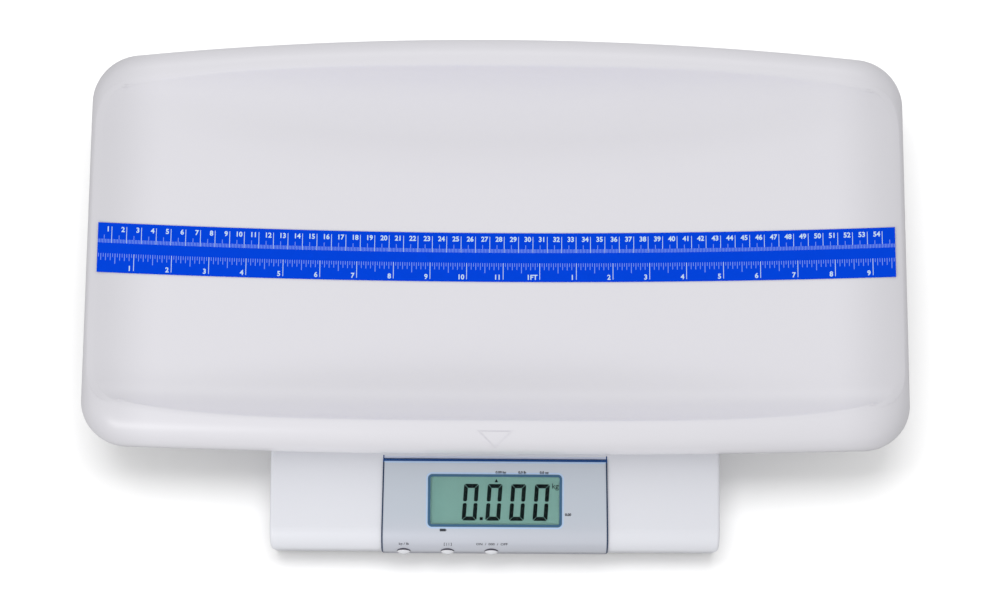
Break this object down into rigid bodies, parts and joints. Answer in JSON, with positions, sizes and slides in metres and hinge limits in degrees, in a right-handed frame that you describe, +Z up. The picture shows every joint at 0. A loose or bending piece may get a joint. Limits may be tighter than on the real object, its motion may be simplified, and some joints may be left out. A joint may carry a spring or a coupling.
{
  "type": "baby weighing scale",
  "caption": "Digital baby weighing scale: a wide curved tray with a printed measuring tape, on a flat base with a display and push buttons.",
  "frame": {"origin": "on the floor under the feet, at the middle of the overall length and depth", "axes": "+X along the tray, +Y from the display side to the back, +Z up"},
  "size_m": [0.5624, 0.355, 0.1],
  "materials": {
    "white_shell": "satin white moulded plastic",
    "pan_plastic": "fine grained",
    "tape_blue": "printed film",
    "panel_silver": "silver printed",
    "trim_blue": "dark blue edge",
    "border_blue": "printed film",
    "clear_lens": "clear",
    "display_cell": "grey green",
    "dark_plastic": "moulded",
    "connector_rubber": "striped elastomer",
    "board_green": "coated laminate",
    "chip_black": "moulded",
    "steel": "zinc plated",
    "button_white": "pearl",
    "plunger_brown": "moulded",
    "battery_case": "printed sleeve",
    "contact_metal": "plated",
    "cell_aluminium": "machined",
    "sealant": "soft white",
    "foot_rubber": "moulded",
    "cap_rubber": "moulded",
    "wire_red": "insulated",
    "wire_grey": "insulated",
    "wire_white": "insulated"
  },
  "bodies": {
    "base": {"base_cover": "white_shell", "base_pan": "pan_plastic", "rubber_feet": "foot_rubber", "base_screws": "steel", "display_panel": "panel_silver", "panel_trim": "trim_blue", "window_border": "border_blue", "display_lens": "clear_lens", "lcd_glass": "display_cell", "lcd_bezel": "dark_plastic", "lcd_connectors": "connector_rubber", "main_board": "board_green", "board_components": "chip_black", "board_screws": "steel", "button_board": "board_green", "button_board_screws": "steel", "switch_bodies": "chip_black", "battery_cells": "battery_case", "battery_plates": "contact_metal", "battery_springs": "contact_metal", "chassis_plate": "steel", "chassis_screws": "steel", "lower_spacer": "cell_aluminium", "load_cell": "cell_aluminium", "gauge_seals": "sealant", "upper_spacer": "cell_aluminium", "load_cell_bolts": "steel", "weighing_frame": "steel", "frame_posts": "steel", "post_caps": "cap_rubber", "overload_stops": "steel", "battery_wires": "wire_red", "load_cell_cable": "wire_grey", "button_wires": "wire_white"},
    "tray": {"tray": "white_shell", "measuring_tape": "tape_blue"},
    "battery_door": {"battery_door": "pan_plastic"},
    "unit_button": {"unit_button": "button_white", "unit_plunger": "plunger_brown"},
    "hold_button": {"hold_button": "button_white", "hold_plunger": "plunger_brown"},
    "power_button": {"power_button": "button_white", "power_plunger": "plunger_brown"}
  },
  "joints": [
    {"name": "tray_lift", "type": "slide", "parent": "base", "child": "tray", "axis": [0, 0, 1], "range_m": [0, 0.06]},
    {"name": "battery_door_slide", "type": "slide", "parent": "base", "child": "battery_door", "axis": [0, 1, 0], "range_m": [0, 0.066]},
    {"name": "unit_press", "type": "slide", "parent": "base", "child": "unit_button", "axis": [0, 0.9781, -0.2079], "range_m": [0, 0.0008], "stiffness_N_per_m": 1500, "springref_m": -0.0003},
    {"name": "hold_press", "type": "slide", "parent": "base", "child": "hold_button", "axis": [0, 0.9781, -0.2079], "range_m": [0, 0.0008], "stiffness_N_per_m": 1500, "springref_m": -0.0003},
    {"name": "power_press", "type": "slide", "parent": "base", "child": "power_button", "axis": [0, 0.9781, -0.2079], "range_m": [0, 0.0008], "stiffness_N_per_m": 1500, "springref_m": -0.0003}
  ]
}
